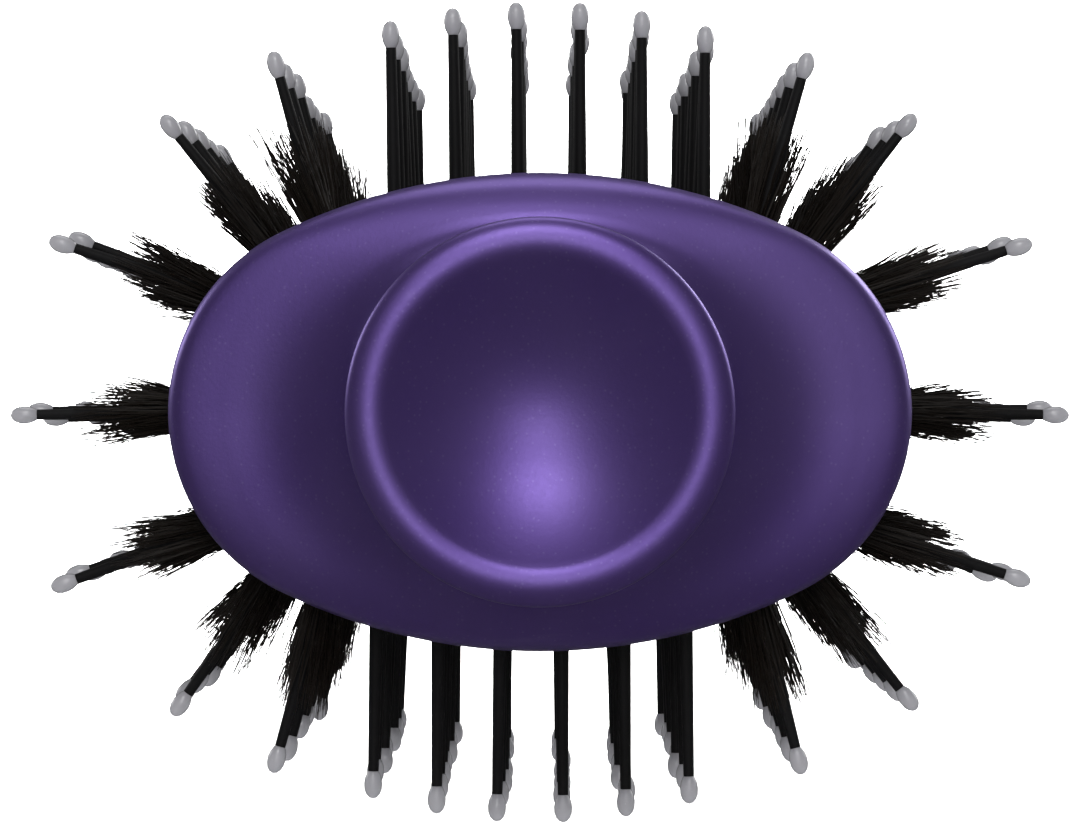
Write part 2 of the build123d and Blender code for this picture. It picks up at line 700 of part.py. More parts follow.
# ---- write every sub-part ----
def main():
    os.makedirs("parts", exist_ok=True)
    plan = strip_plan()
    blank, outer = make_shell_blank()
    plain = [row for row in plan if row[4] == 0]
    shapes = {
        "tip_cap": make_tip_cap(),
        "cap_screws": make_cap_screws(),
        "front_strip_ring": make_front_ring(plan),
        "barrel": make_barrel(plan),
        "rear_strip_ring": make_ring(plan, barrel_end - ring_depth - 1, barrel_end, True),
        "head_collar": make_collar(),
        "ball_tips_top": make_balls([row for row in plain if row[2] > 0]),
        "ball_tips_bottom": make_balls([row for row in plain if row[2] < 0]),
        "ball_tips_right": make_balls([row for row in plan if row[4] > 0 and row[1][0] > 0]),
        "ball_tips_left": make_balls([row for row in plan if row[4] > 0 and row[1][0] < 0]),
        "bristle_tufts_right": make_tufts([row for row in plan if row[4] > 0 and row[1][0] > 0]),
        "bristle_tufts_left": make_tufts([row for row in plan if row[4] > 0 and row[1][0] < 0]),
        "handle_shell_upper": make_shell_upper(blank, outer),
        "handle_shell_lower": make_shell_lower(blank, outer),
        "handle_screws": make_handle_screws(),
        "neck_ring": make_neck_ring(),
        "latch_clip": make_latch_clip(),
        "release_button": make_button(),
        "heat_shield": make_heat_shield(),
        "heater_frame": make_heater_frame(),
        "heater_coil": make_heater_coil(),
        "thermal_cutout": make_thermal_cutout(),
        "motor_mount": make_motor_mount(),
        "motor_can": make_motor(),
        "motor_shaft": make_shaft(),
        "fan_impeller": make_fan(),
        "switch_board": make_switch_board(),
        "tail_sleeve": make_tail_sleeve(),
        "mode_dial": make_dial(),
        "inlet_grille": make_grille(),
        "lint_filter": make_filter(),
        "end_cap": make_end_cap(),
        "cord_swivel": make_swivel(),
    }
    for name, base, angle, normal, kind, pitch in plan:
        bar, pins = make_strip(base, angle, normal, kind, pitch)
        shapes[name] = gather([bar] + pins)
    for name, shape in shapes.items():
        placed = brush_frame * shape
        export_step(placed, f"parts/{name}.step")
    print("length", round(total_length, 2), "axis height", axis_height)


main()
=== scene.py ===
import math
import random

import bmesh
import bpy
from mathutils import Matrix, Vector


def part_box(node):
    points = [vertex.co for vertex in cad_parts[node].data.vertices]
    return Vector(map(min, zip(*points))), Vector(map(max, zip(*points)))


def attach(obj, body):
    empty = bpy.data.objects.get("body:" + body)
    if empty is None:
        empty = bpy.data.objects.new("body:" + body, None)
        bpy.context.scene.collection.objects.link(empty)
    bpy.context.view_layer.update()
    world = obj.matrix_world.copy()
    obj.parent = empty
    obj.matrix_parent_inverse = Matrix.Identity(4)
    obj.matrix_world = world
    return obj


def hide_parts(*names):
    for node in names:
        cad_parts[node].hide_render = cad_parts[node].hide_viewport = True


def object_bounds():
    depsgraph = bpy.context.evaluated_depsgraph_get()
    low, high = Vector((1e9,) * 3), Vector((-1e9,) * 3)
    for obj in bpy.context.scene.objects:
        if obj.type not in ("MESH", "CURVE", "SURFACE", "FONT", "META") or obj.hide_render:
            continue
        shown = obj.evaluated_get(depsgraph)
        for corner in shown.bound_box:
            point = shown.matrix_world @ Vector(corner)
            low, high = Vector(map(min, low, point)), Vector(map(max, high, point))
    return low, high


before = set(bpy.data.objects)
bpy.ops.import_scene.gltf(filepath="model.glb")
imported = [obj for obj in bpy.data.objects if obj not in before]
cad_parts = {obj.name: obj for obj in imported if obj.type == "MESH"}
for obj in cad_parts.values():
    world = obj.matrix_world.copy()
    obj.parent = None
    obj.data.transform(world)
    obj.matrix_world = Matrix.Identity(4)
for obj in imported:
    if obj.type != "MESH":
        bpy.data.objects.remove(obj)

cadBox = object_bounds()
mm = 0.001
fullTurn = 2 * math.pi

# ---- places read from the frame
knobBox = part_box("tip_cap")
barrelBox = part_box("barrel")
tipY = knobBox[0][1]
axisZ = (knobBox[0][2] + knobBox[1][2]) / 2
barrelHalfW = (barrelBox[1][0] - barrelBox[0][0]) / 2 / mm
barrelHalfH = (barrelBox[1][2] - barrelBox[0][2]) / 2 / mm


def station(distance):
    # metres along Y, for millimetres back from the tip
    return tipY + distance * mm


def stationsOf(node):
    low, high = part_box(node)
    return (low[1] - tipY) / mm, (high[1] - tipY) / mm


def brushPoint(x, up, back):
    return Vector((x * mm, station(back), axisZ + up * mm))


print("frame read, oval", round(2 * barrelHalfW, 1), "by", round(2 * barrelHalfH, 1), "mm")

# ---- camera and room
camera = {"firstRing": 33.0, "distance": 404.0, "seenWidth": 109.1, "sensor": 36.0}
room = {"floorDrop": 0.075, "halfSize": 3.6, "wallAt": 2.6, "wallHeight": 3.4, "cove": 0.9}
lamps = [
    ("keySoftbox", (-0.03, -1.20, 0.86), (0, -0.16, 0.04), (0.56, 0.44), 5.0, 180),
    ("frontSoftbox", (0.0, -1.75, 0.30), (0, -0.16, 0.04), (0.55, 0.40), 3.3, 180),
    ("topSoftbox", (0.0, 0.20, 1.3), (0, 0.08, 0.04), (0.9, 0.7), 3.5, 180),
    ("leftFill", (-1.3, 0.75, 0.55), (0, 0.05, 0.04), (0.6, 0.5), 4.0, 180),
    ("rightFill", (1.3, 0.75, 0.55), (0, 0.05, 0.04), (0.6, 0.5), 4.0, 180),
    ("backSoftbox", (1.2, 1.4, 1.0), (0, 0.05, 0.04), (0.8, 0.6), 9.0, 180),
    ("wallLampLeft", (-1.6, 0.9, 1.7), (-0.2, 2.4, 0.0), (1.0, 0.8), 60.0, 80),
    ("wallLampRight", (1.6, 0.9, 1.7), (0.2, 2.4, 0.0), (1.0, 0.8), 60.0, 80),
]
roomLight = {"pale": 0.62, "mirrored": 0.07}


def plainMaterial(name, colour, rough):
    mat = bpy.data.materials.new(name)
    mat.use_nodes = True
    shader = mat.node_tree.nodes["Principled BSDF"]
    shader.inputs["Base Color"].default_value = (*colour, 1)
    shader.inputs["Roughness"].default_value = rough
    return mat


def makeCamera():
    data = bpy.data.cameras.new("brushCamera")
    data.sensor_width = camera["sensor"]
    data.lens = camera["sensor"] * camera["distance"] / camera["seenWidth"]
    data.clip_start = 0.01
    data.clip_end = 30
    cam = bpy.data.objects.new("brushCamera", data)
    cam.location = (0, station(camera["firstRing"] - camera["distance"]), axisZ)
    cam.rotation_euler = (math.radians(90), 0, 0)
    bpy.context.scene.collection.objects.link(cam)
    bpy.context.scene.camera = cam


def makeRoom():
    # a pale floor that curves up into a wall behind
    half = room["halfSize"]
    bm = bmesh.new()
    middle = Matrix.Translation((0, room["wallAt"] - half, cadBox[0][2] - room["floorDrop"]))
    bmesh.ops.create_grid(bm, x_segments=1, y_segments=1, size=half, matrix=middle)
    back = [e for e in bm.edges if all(v.co.y > room["wallAt"] - 0.01 for v in e.verts)]
    grown = bmesh.ops.extrude_edge_only(bm, edges=back)["geom"]
    bmesh.ops.translate(bm, verts=[g for g in grown if isinstance(g, bmesh.types.BMVert)],
                        vec=(0, 0, room["wallHeight"]))
    bmesh.ops.bevel(bm, geom=back, offset=room["cove"], offset_type="OFFSET", segments=16, profile=0.5,
                    affect="EDGES", material=-1)
    bmesh.ops.recalc_face_normals(bm, faces=bm.faces)
    mesh = bpy.data.meshes.new("paleFloor")
    bm.to_mesh(mesh)
    bm.free()
    mesh.shade_smooth()
    mesh.materials.append(plainMaterial("paleFloorPaint", (0.93, 0.93, 0.93), 0.95))
    floor = bpy.data.objects.new("paleFloor", mesh)
    floor.visible_glossy = False       # the satin cap mirrors the dark room, not the floor
    bpy.context.scene.collection.objects.link(floor)


def makeLamps():
    for name, place, target, size, watts, spread in lamps:
        data = bpy.data.lights.new(name, "AREA")
        data.shape = "RECTANGLE"
        data.size, data.size_y = size
        data.energy = watts
        data.spread = math.radians(spread)
        lamp = bpy.data.objects.new(name, data)
        lamp.location = place
        lamp.rotation_euler = (Vector(target) - Vector(place)).to_track_quat("-Z", "Y").to_euler()
        bpy.context.scene.collection.objects.link(lamp)


def makeSky():
    # a pale room, of which the satin finish mirrors little
    world = bpy.data.worlds.new("paleRoom")
    world.use_nodes = True
    tree = world.node_tree
    sky = tree.nodes["Background"]
    sky.inputs["Color"].default_value = (1, 1, 1, 1)
    path = tree.nodes.new("ShaderNodeLightPath")
    strength = tree.nodes.new("ShaderNodeMapRange")
    strength.inputs["To Min"].default_value = roomLight["pale"]
    strength.inputs["To Max"].default_value = roomLight["mirrored"]
    tree.links.new(path.outputs["Is Glossy Ray"], strength.inputs["Value"])
    tree.links.new(strength.outputs["Result"], sky.inputs["Strength"])
    bpy.context.scene.world = world
    bpy.context.scene.view_settings.view_transform = "Standard"


makeCamera()
makeRoom()
makeLamps()
makeSky()
print("camera, floor and lamps set")


# ---- shared shader effects
grainLook = {"fineScale": 2600, "fineDetail": 3, "fineRoughness": 0.62, "speckScale": 1900, "speckReach": 0.3,
             "speckShare": 0.62, "cloudScale": 45, "cloudDetail": 2}
wearLook = {"noiseScale": 420, "noiseDetail": 4, "edgeFrom": 0.52, "edgeTo": 0.66}


def addNode(tree, kind, inputs=None, **settings):
    node = tree.nodes.new("ShaderNode" + kind)
    for key, value in settings.items():
        setattr(node, key, value)
    for key, value in (inputs or {}).items():
        node.inputs[key].default_value = value
    return node


def groupSocket(tree, name, way, value=None):
    sock = tree.interface.new_socket(name=name, in_out=way, socket_type="NodeSocketFloat")
    if value is not None:
        sock.default_value = value


def newGroup(name):
    tree = bpy.data.node_groups.new(name, "ShaderNodeTree")
    return tree, tree.nodes.new("NodeGroupInput"), tree.nodes.new("NodeGroupOutput")


def makeGrainGroup():
    # a fine moulded grain: a height for bump, a mask of tiny pale specks and a wide cloud
    tree, start, end = newGroup("mouldedGrain")
    groupSocket(tree, "Grain Size", "INPUT", value=1.0)
    groupSocket(tree, "Speck Amount", "INPUT", value=0.5)
    for output in ("Height", "Specks", "Cloud"):
        groupSocket(tree, output, "OUTPUT")
    link = tree.links.new
    coords = addNode(tree, "TexCoord")
    scaled = addNode(tree, "VectorMath", operation="SCALE")
    link(coords.outputs["Object"], scaled.inputs[0])
    link(start.outputs["Grain Size"], scaled.inputs["Scale"])
    fine = addNode(tree, "TexNoise", {"Scale": grainLook["fineScale"], "Detail": grainLook["fineDetail"],
                                      "Roughness": grainLook["fineRoughness"]})
    dots = addNode(tree, "TexVoronoi", {"Scale": grainLook["speckScale"], "Randomness": 1})
    wide = addNode(tree, "TexNoise", {"Scale": grainLook["cloudScale"], "Detail": grainLook["cloudDetail"]})
    for tex in (fine, dots, wide):
        link(scaled.outputs["Vector"], tex.inputs["Vector"])
    close = addNode(tree, "MapRange", {"From Min": 0.0, "From Max": grainLook["speckReach"], "To Min": 1.0,
                                       "To Max": 0.0})
    link(dots.outputs["Distance"], close.inputs["Value"])
    split = addNode(tree, "SeparateColor")
    link(dots.outputs["Color"], split.inputs["Color"])
    some = addNode(tree, "Math", {1: grainLook["speckShare"]}, operation="GREATER_THAN")
    link(split.outputs["Red"], some.inputs[0])
    speck = addNode(tree, "Math", operation="MULTIPLY")
    link(close.outputs["Result"], speck.inputs[0])
    link(some.outputs["Value"], speck.inputs[1])
    level = addNode(tree, "Math", operation="MULTIPLY")
    link(speck.outputs["Value"], level.inputs[0])
    link(start.outputs["Speck Amount"], level.inputs[1])
    link(level.outputs["Value"], end.inputs["Specks"])
    link(fine.outputs["Fac"], end.inputs["Height"])
    link(wide.outputs["Fac"], end.inputs["Cloud"])
    return tree


def makeWearGroup():
    # a broken mask along the edges where a piece is handled
    tree, start, end = newGroup("handledEdges")
    groupSocket(tree, "Mask", "OUTPUT")
    link = tree.links.new
    surface = addNode(tree, "NewGeometry")
    coords = addNode(tree, "TexCoord")
    noise = addNode(tree, "TexNoise", {"Scale": wearLook["noiseScale"], "Detail": wearLook["noiseDetail"]})
    link(coords.outputs["Object"], noise.inputs["Vector"])
    sharp = addNode(tree, "MapRange", {"From Min": wearLook["edgeFrom"], "From Max": wearLook["edgeTo"]})
    link(surface.outputs["Pointiness"], sharp.inputs["Value"])
    broken = addNode(tree, "Math", operation="MULTIPLY")
    link(sharp.outputs["Result"], broken.inputs[0])
    link(noise.outputs["Fac"], broken.inputs[1])
    link(broken.outputs["Value"], end.inputs["Mask"])
    return tree


grainGroup = makeGrainGroup()
wearGroup = makeWearGroup()


def newMaterial(name, settings):
    mat = bpy.data.materials.new(name)
    mat.use_nodes = True
    shader = mat.node_tree.nodes["Principled BSDF"]
    for key, value in settings.items():
        shader.inputs[key].default_value = value
    return mat, mat.node_tree, shader


finish = {"smoother": 0.05, "rougher": 0.07, "reliefDepth": 0.00008, "sheenRough": 0.45, "cloudReach": 3}


def grainy(name, dark, pale, rough, bump, grainSize=1.0, specks=0.5, coat=0.0, coatRough=0.2, specular=0.5,
           sheen=0.0, cloud=0.12, edge=0.12, metal=0.0):
    # moulded plastic: fine grain, faint clouding, pale specks and handled edges
    mat, tree, shader = newMaterial(name, {"Metallic": metal, "Coat Weight": coat, "Coat Roughness": coatRough,
                                           "Specular IOR Level": specular, "Sheen Weight": sheen,
                                           "Sheen Roughness": finish["sheenRough"]})
    link = tree.links.new
    grain = addNode(tree, "Group", {"Grain Size": grainSize, "Speck Amount": specks}, node_tree=grainGroup)
    wear = addNode(tree, "Group", node_tree=wearGroup)
    cloudy = [d + (p - d) * cloud * finish["cloudReach"] for d, p in zip(dark, pale)]
    clouded = addNode(tree, "Mix", {"A": (*dark, 1), "B": (*cloudy, 1)}, data_type="RGBA")
    link(grain.outputs["Cloud"], clouded.inputs["Factor"])
    specked = addNode(tree, "Mix", {"B": (*pale, 1)}, data_type="RGBA")
    link(clouded.outputs["Result"], specked.inputs["A"])
    link(grain.outputs["Specks"], specked.inputs["Factor"])
    worn = addNode(tree, "Mix", {"B": (*pale, 1)}, data_type="RGBA")
    link(specked.outputs["Result"], worn.inputs["A"])
    amount = addNode(tree, "Math", {1: edge}, operation="MULTIPLY")
    link(wear.outputs["Mask"], amount.inputs[0])
    link(amount.outputs["Value"], worn.inputs["Factor"])
    link(worn.outputs["Result"], shader.inputs["Base Color"])
    roughness = addNode(tree, "MapRange", {"To Min": rough - finish["smoother"],
                                           "To Max": rough + finish["rougher"]})
    link(grain.outputs["Height"], roughness.inputs["Value"])
    link(roughness.outputs["Result"], shader.inputs["Roughness"])
    relief = addNode(tree, "Bump", {"Strength": bump, "Distance": finish["reliefDepth"]})
    link(grain.outputs["Height"], relief.inputs["Height"])
    link(relief.outputs["Normal"], shader.inputs["Normal"])
    return mat


satinPurple = grainy("satinPurple", (0.118, 0.058, 0.325), (0.36, 0.28, 0.60), 0.43, 0.14, specks=0.26,
                     metal=0.90, coat=0.30, coatRough=0.36)
softBlack = grainy("softTouchBlack", (0.018, 0.018, 0.020), (0.10, 0.10, 0.11), 0.62, 0.5, grainSize=0.8,
                   specks=0.15, sheen=0.15)
ceramicCoat = grainy("ceramicCoat", (0.030, 0.029, 0.032), (0.26, 0.25, 0.27), 0.34, 0.25, grainSize=0.6,
                     specks=0.55, coat=0.25)
blackNylon = grainy("blackNylon", (0.003, 0.0028, 0.003), (0.02, 0.02, 0.022), 0.5, 0.2, specks=0.05,
                    specular=0.1)
greyBall = grainy("greyDippedTip", (0.27, 0.267, 0.29), (0.55, 0.55, 0.57), 0.24, 0.06, specks=0.08, coat=0.5,
                  coatRough=0.12, cloud=0.08)
bristleBlack = grainy("bristleHair", (0.004, 0.0035, 0.0035), (0.05, 0.03, 0.015), 0.5, 0.1, specks=0.0,
                      cloud=0.05, specular=0.2)
innerNylon = grainy("glassFilledNylon", (0.03, 0.03, 0.03), (0.14, 0.14, 0.14), 0.5, 0.4, specks=0.4)
zincSteel = grainy("zincSteel", (0.52, 0.52, 0.53), (0.8, 0.8, 0.82), 0.3, 0.15, specks=0.2, metal=1.0)
micaBoard = grainy("micaBoard", (0.50, 0.44, 0.33), (0.78, 0.74, 0.62), 0.5, 0.4, grainSize=0.4, specks=0.7)
boardGreen = grainy("boardGreen", (0.02, 0.10, 0.045), (0.1, 0.3, 0.12), 0.4, 0.2, specks=0.2)
filterMesh = grainy("filterMesh", (0.05, 0.05, 0.05), (0.2, 0.2, 0.2), 0.6, 0.5, grainSize=0.7,
                    specks=0.6)
rubberBlack = grainy("glandRubber", (0.012, 0.012, 0.012), (0.06, 0.06, 0.06), 0.55, 0.4, specks=0.1)
print("materials made")


# ---- mesh helpers
def toPiece(bm, name, body, mat, nodes=(), smooth=38, merge=1e-6, normals=True):
    if merge:
        bmesh.ops.remove_doubles(bm, verts=bm.verts, dist=merge)
    if normals:
        bmesh.ops.recalc_face_normals(bm, faces=bm.faces)
    mesh = bpy.data.meshes.new(name)
    bm.to_mesh(mesh)
    bm.free()
    mesh.shade_smooth()
    mesh.set_sharp_from_angle(angle=math.radians(smooth))
    mesh.materials.append(mat)
    piece = bpy.data.objects.new(name, mesh)
    bpy.context.scene.collection.objects.link(piece)
    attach(piece, body)
    if nodes:
        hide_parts(*nodes)
    return piece


def ovalCentres(halfW, halfH, turn=64.0):
    t = math.radians(turn)
    endX = (halfW - halfH) / (1 + math.tan(t) - 1 / math.cos(t))
    return endX, endX * math.tan(t)


def ovalPoint(halfW, halfH, a, turn=64.0):
    # point of a four-arc oval whose outward normal stands at angle a
    endX, sideY = ovalCentres(halfW, halfH, turn)
    c, s = math.cos(a), math.sin(a)
    if abs(s) <= math.sin(math.radians(turn)):
        r = halfW - endX
        return math.copysign(endX, c) + r * c, r * s
    r = halfH + sideY
    return r * c, r * s - math.copysign(sideY, s)


def growTube(bm, rings, segments, ringLayer=None):
    # a tube grown ring by ring through (half width, half height, station)
    turnLayer = bm.verts.layers.float.new("turn")
    ring = bmesh.ops.create_circle(bm, segments=segments, radius=1.0, cap_ends=False)["verts"]
    for v in ring:
        v[turnLayer] = math.atan2(v.co.y, v.co.x)
    edges = bm.edges[:]
    for k, (halfW, halfH, back) in enumerate(rings):
        if k:
            grown = bmesh.ops.extrude_edge_only(bm, edges=edges)["geom"]
            ring = [g for g in grown if isinstance(g, bmesh.types.BMVert)]
            fresh = set(ring)
            edges = [g for g in grown if isinstance(g, bmesh.types.BMEdge) and set(g.verts) <= fresh]
        for v in ring:
            x, up = ovalPoint(halfW, halfH, v[turnLayer])
            v.co = brushPoint(x, up, back)
            if ringLayer:
                v[ringLayer] = k
    return ring


def bezier(points, steps, skipFirst=False):
    p0, p1, p2, p3 = [Vector(p) for p in points]
    out = []
    for k in range(1 if skipFirst else 0, steps + 1):
        t = k / steps
        u = 1 - t
        out.append(u * u * u * p0 + 3 * u * u * t * p1 + 3 * u * t * t * p2 + t * t * t * p3)
    return out


def hermite(y0, y1, m0, m1, t):
    return ((2 * t**3 - 3 * t**2 + 1) * y0 + (t**3 - 2 * t**2 + t) * m0
            + (3 * t**2 - 2 * t**3) * y1 + (t**3 - t**2) * m1)


# ---- tip cap
cap = {"knobR": 18.2, "rimR": 2.2, "rimHigh": 1.35, "rimStart": 137, "rimEnd": -50, "rimSteps": 26,
       "dishDepth": 5.7, "dishFlat": 5.0, "dishPull": (4.7, 3.42), "dishSteps": 30,
       "waistR": 15.5, "waistAt": 7.5, "neckPull": (1.2, 1.0), "waistPull": (0.05, 2.0), "neckSteps": 12,
       "rimOut": 1.0, "lap": 2.0, "segments": 240, "flareRings": 64, "evenRings": 0.35, "crowding": 2.2,
       "blendPower": 1.6,
       # inset and station of the skirt's rings, from its rear end
       "skirt": [(0, -0.35), (0.1, -0.1), (0.3, 0), (0.9, 0), (0.9, -2.2), (8.0, -2.2)],
       # how deep the flare lies, from the waist (0) to the edge (1)
       "wideSide": [(0, 0), (0.05, 1.7), (0.143, 4.9), (0.214, 6.9), (0.31, 8.75), (0.405, 9.95), (0.5, 10.68),
                    (0.595, 11.1), (0.74, 11.5), (0.88, 11.9), (0.93, 12.13), (0.967, 12.57), (0.99, 13.2),
                    (1, 13.95)],
       "narrowSide": [(0, 0), (0.12, 4.5), (0.25, 7.0), (0.35, 7.9), (0.5, 8.45), (0.65, 9.1), (0.8, 10.0),
                      (0.9, 11.0), (0.96, 12.1), (1, 13.95)]}


def smoothCurve(points, x):
    # a smooth curve through points, without overshoot at its steep ends
    for (x0, y0), (x1, y1) in zip(points, points[1:]):
        if x <= x1 or (x1, y1) == points[-1]:
            break
    i = points.index((x0, y0))
    slope = (y1 - y0) / (x1 - x0)
    before = (y0 - points[i - 1][1]) / (x0 - points[i - 1][0]) if i else slope
    after = (points[i + 2][1] - y1) / (points[i + 2][0] - x1) if i + 2 < len(points) else slope
    m0 = 0 if before * slope <= 0 else 2 * before * slope / (before + slope)
    m1 = 0 if after * slope <= 0 else 2 * after * slope / (after + slope)
    return hermite(y0, y1, m0 * (x1 - x0), m1 * (x1 - x0), (x - x0) / (x1 - x0))


def flareDepth(spread, x, up):
    # the flare is hollow towards the wide ends and rounded over the narrow way
    share = (abs(up) / math.hypot(x, up)) ** cap["blendPower"]
    wide = smoothCurve(cap["wideSide"], spread)
    return wide + (smoothCurve(cap["narrowSide"], spread) - wide) * share


def makeTipCap():
    rimC = cap["knobR"] - cap["rimR"]

    def rimPoint(a):
        return rimC + cap["rimR"] * math.cos(math.radians(a)), cap["rimHigh"] * (1 - math.sin(math.radians(a)))

    inner, outer = rimPoint(cap["rimStart"]), rimPoint(cap["rimEnd"])
    deep, waist, waistAt = cap["dishDepth"], cap["waistR"], cap["waistAt"]
    dishSide = (inner[0] - cap["dishPull"][0], inner[1] + cap["dishPull"][1])
    dish = bezier([(0, deep), (cap["dishFlat"], deep), dishSide, inner], cap["dishSteps"])
    rim = []
    for k in range(1, cap["rimSteps"] + 1):
        rim.append(Vector(rimPoint(cap["rimStart"] + (cap["rimEnd"] - cap["rimStart"]) * k / cap["rimSteps"])))
    neckSide = (outer[0] - cap["neckPull"][0], outer[1] + cap["neckPull"][1])
    waistSide = (waist + cap["waistPull"][0], waistAt - cap["waistPull"][1])
    neck = bezier([outer, neckSide, waistSide, (waist, waistAt)], cap["neckSteps"], True)
    rings = [(p[0], p[0], p[1]) for p in dish[1:] + rim + neck]
    knobRings = len(rings)
    halfW, halfH = barrelHalfW + cap["rimOut"], barrelHalfH + cap["rimOut"]
    spreads = []
    for k in range(1, cap["flareRings"] + 1):
        t = k / cap["flareRings"]
        spreads.append(cap["evenRings"] * t + (1 - cap["evenRings"]) * (1 - (1 - t) ** cap["crowding"]))
    for spread in spreads:
        rings.append((waist + (halfW - waist) * spread, waist + (halfH - waist) * spread, waistAt))
    end = stationsOf("barrel")[0] + cap["lap"]
    rings += [(halfW - inset, halfH - inset, end + back) for inset, back in cap["skirt"]]
    bm = bmesh.new()
    ringLayer = bm.verts.layers.int.new("ring")
    growTube(bm, rings, cap["segments"], ringLayer)
    for v in bm.verts:
        k = v[ringLayer] - knobRings
        if 0 <= k < len(spreads):
            x, up = v.co.x / mm, (v.co.z - axisZ) / mm
            v.co.y += flareDepth(spreads[k], x, up) * mm
    bmesh.ops.holes_fill(bm, edges=[e for e in bm.edges if e.is_boundary], sides=0)
    toPiece(bm, "tipCap", "brush_head", satinPurple, ["tip_cap"], smooth=60)


makeTipCap()
print("tip cap made")


# ---- barrel: a merged copy of the frame's own shape, with smooth walls
def smoothCopy(node, name, body, mat, smooth=30):
    bm = bmesh.new()
    bm.from_mesh(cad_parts[node].data)
    return toPiece(bm, name, body, mat, [node], smooth=smooth, merge=1e-5, normals=False)


smoothCopy("barrel", "barrelShell", "brush_head", ceramicCoat)

# ---- pins, ball tips and tufts
strips = {"reach": 19.0, "firstPin": 33.0, "pitch": 14.0, "rows": 6, "rowShift": 0.9, "rowSplay": 0.55,
          "lastPinBack": 8, "barWidth": 4.0, "barThick": 1.5, "barDepth": 2.3, "barEase": 0.25}
pins = {"rootR": 0.78, "endR": 0.56, "sides": 10, "plainLean": 0.55, "sideLean": 1.1}
bosses = {"radius": 2.1, "rise": 0.7, "foot": -2.6, "sides": 20, "ease": 0.25}
balls = {"radius": 1.0, "halfLength": 1.55, "drawnIn": 0.16, "around": 12, "rings": 8, "pinGoesIn": 1.8}
# where each tufted row stands round the barrel and where its pins point, in degrees
tuftRows = [(67.5, 74.0), (57.5, 52.0), (38.0, 19.0), (0.0, 0.0), (-38.0, -19.0), (-57.5, -52.0),
            (-67.5, -74.0)]
tufts = {"patterns": 9, "count": 150, "height": 12.4, "ragged": 0.36, "raggedPower": 1.5, "rootR": 1.75,
         "fan": 0.075, "leastFan": 0.35, "hairR": 0.055, "sides": 3, "thinning": (0.92, 0.55), "sunk": 0.1,
         "stray": 0.05, "strayFan": 2.4, "swept": 0.07, "wild": 0.45, "bend": 0.2, "innerShare": 0.2,
         "outerDrop": 0.8}


def stripPlan():
    # name, foot on the barrel, pin direction and kind of every strip: 0 plain, 1 and 2 tufted rows
    sideR = barrelHalfH + ovalCentres(barrelHalfW, barrelHalfH)[1]
    firstX = ovalPoint(barrelHalfW, barrelHalfH, math.radians(tuftRows[0][0]))[0]
    gap = 2 * firstX / (strips["rows"] + 1)
    plan = []
    for up, side in ((1, "top"), (-1, "bottom")):
        for i in range(strips["rows"]):
            fromMiddle = i - (strips["rows"] - 1) / 2
            x = fromMiddle * gap + up * strips["rowShift"]
            y = math.sqrt(sideR * sideR - x * x) - (sideR - barrelHalfH)
            angle = up * (90 - fromMiddle * strips["rowSplay"])
            plan.append((f"pin_strip_{side}_{i + 1}", (x, up * y), angle, 0))
    for side, word in ((1, "right"), (-1, "left")):
        for i, (place, direction) in enumerate(tuftRows):
            x, y = ovalPoint(barrelHalfW, barrelHalfH, math.radians(place))
            angle = direction if side > 0 else 180 - direction
            plan.append((f"bristle_strip_{word}_{i + 1}", (side * x, y), angle, 1 + i % 2))
    return plan


def pinStations(kind):
    last = stationsOf("bristle_strip_right_1")[1] - strips["lastPinBack"]
    count = int((last - strips["firstPin"]) / strips["pitch"]) + 1
    if kind == 2:
        return [strips["firstPin"] + strips["pitch"] * (k + 0.5) for k in range(count - 1)]
    return [strips["firstPin"] + strips["pitch"] * k for k in range(count)]


def pinFrame(foot, angle, back, across=0.0, along=0.0):
    # a place on the barrel with its z axis along the pin, leaning by small angles in degrees
    a = math.radians(angle + across)
    out = Vector((math.cos(a), math.tan(math.radians(along)), math.sin(a))).normalized()
    side = Vector((0, 1, 0)).cross(out).normalized()
    turn = Matrix((side, out.cross(side), out)).transposed().to_4x4()
    return Matrix.Translation(brushPoint(*foot, back)) @ turn


def bmToTemplate(bm, name):
    mesh = bpy.data.meshes.new(name)
    bm.to_mesh(mesh)
    bm.free()
    return mesh


def stamp(bm, template, place):
    count = len(bm.verts)
    bm.from_mesh(template)
    bm.verts.ensure_lookup_table()
    bmesh.ops.transform(bm, matrix=place, verts=bm.verts[count:])


def pinTemplate(foot):
    bm = bmesh.new()
    top = strips["reach"] - balls["halfLength"] * balls["pinGoesIn"]
    middle = Matrix.Translation((0, 0, (foot + top) / 2 * mm))
    bmesh.ops.create_cone(bm, segments=pins["sides"], cap_ends=False, radius1=pins["rootR"] * mm,
                          radius2=pins["endR"] * mm, depth=(top - foot) * mm, matrix=middle)
    return bmToTemplate(bm, "pinTemplate")


def bossTemplate():
    bm = bmesh.new()
    low, high, radius = bosses["foot"], bosses["rise"], bosses["radius"] * mm
    bmesh.ops.create_cone(bm, segments=bosses["sides"], cap_ends=True, radius1=radius, radius2=radius,
                          depth=(high - low) * mm, matrix=Matrix.Translation((0, 0, (low + high) / 2 * mm)))
    lip = [e for e in bm.edges if all(v.co.z > 0 for v in e.verts)]
    bmesh.ops.bevel(bm, geom=lip, offset=bosses["ease"] * mm, segments=2, profile=0.5, affect="EDGES",
                    material=-1)
    return bmToTemplate(bm, "bossTemplate")


def ballTemplate():
    # an egg, drawn in where the pin enters it
    bm = bmesh.new()
    bmesh.ops.create_uvsphere(bm, u_segments=balls["around"], v_segments=balls["rings"], radius=1.0)
    for v in bm.verts:
        girth = balls["radius"] * (1 - balls["drawnIn"] * (1 - v.co.z) / 2)
        v.co = Vector((v.co.x * girth, v.co.y * girth, v.co.z * balls["halfLength"])) * mm
    return bmToTemplate(bm, "ballTemplate")


